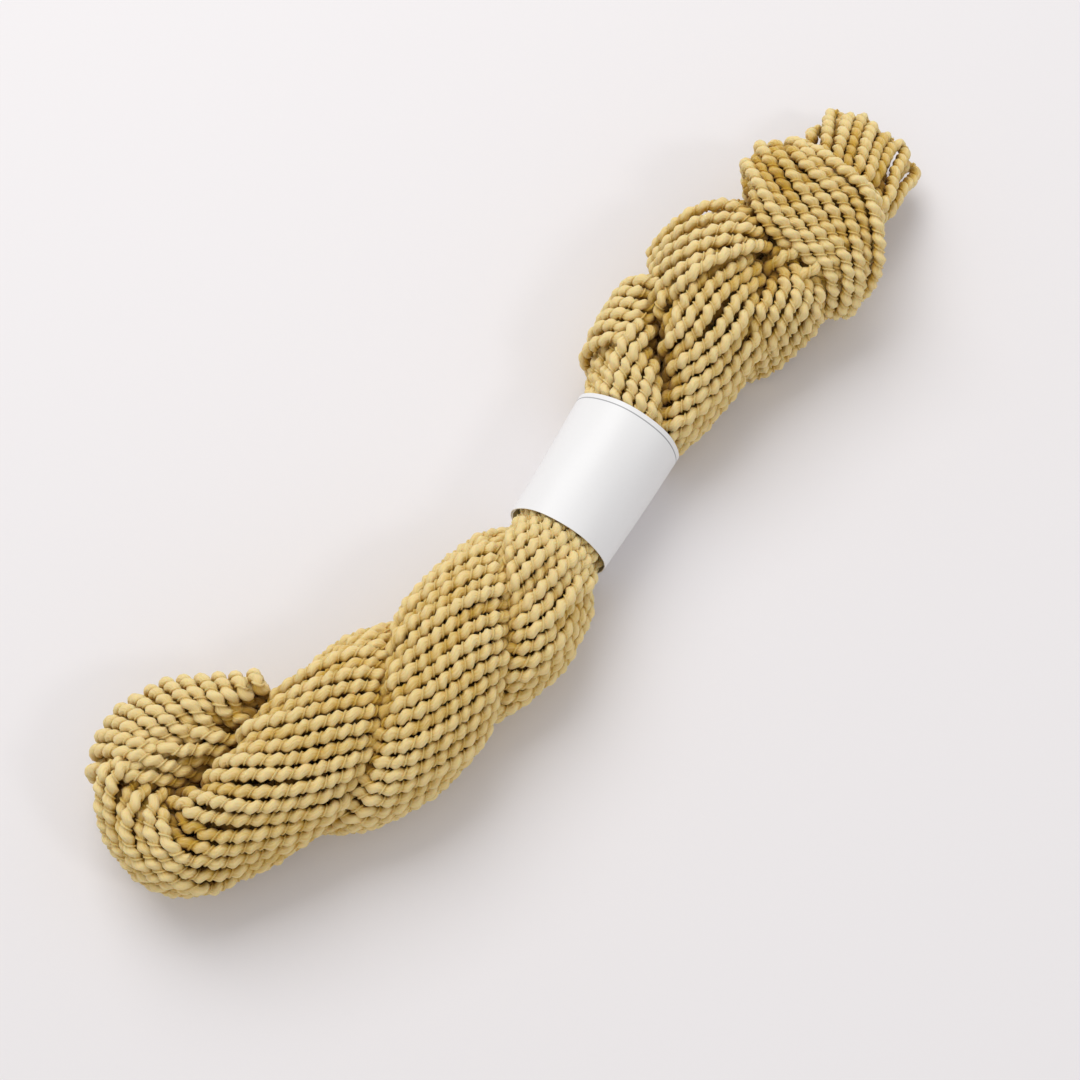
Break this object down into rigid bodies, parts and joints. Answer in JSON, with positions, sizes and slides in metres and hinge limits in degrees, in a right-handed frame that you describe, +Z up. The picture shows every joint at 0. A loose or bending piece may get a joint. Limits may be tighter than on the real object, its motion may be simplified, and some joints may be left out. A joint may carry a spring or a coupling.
{
  "type": "hank of cotton yarn",
  "caption": "Twisted hank of thick two-ply cotton yarn, folded and wound round itself, held at the waist by a plain paper band.",
  "frame": {"origin": "middle of the bounding box in plan, on the surface that the hank lies on", "axes": "+X along the hank from its fold to its tail of loops, +Y across it, +Z up from the surface"},
  "size_m": [0.292, 0.0891, 0.0413],
  "materials": {
    "yarn": "matt, soft two-ply cotton in honey beige",
    "paper": "smooth white coated paper, blank"
  },
  "bodies": {
    "root": {"hank": "yarn", "band": "paper"}
  },
  "joints": []
}
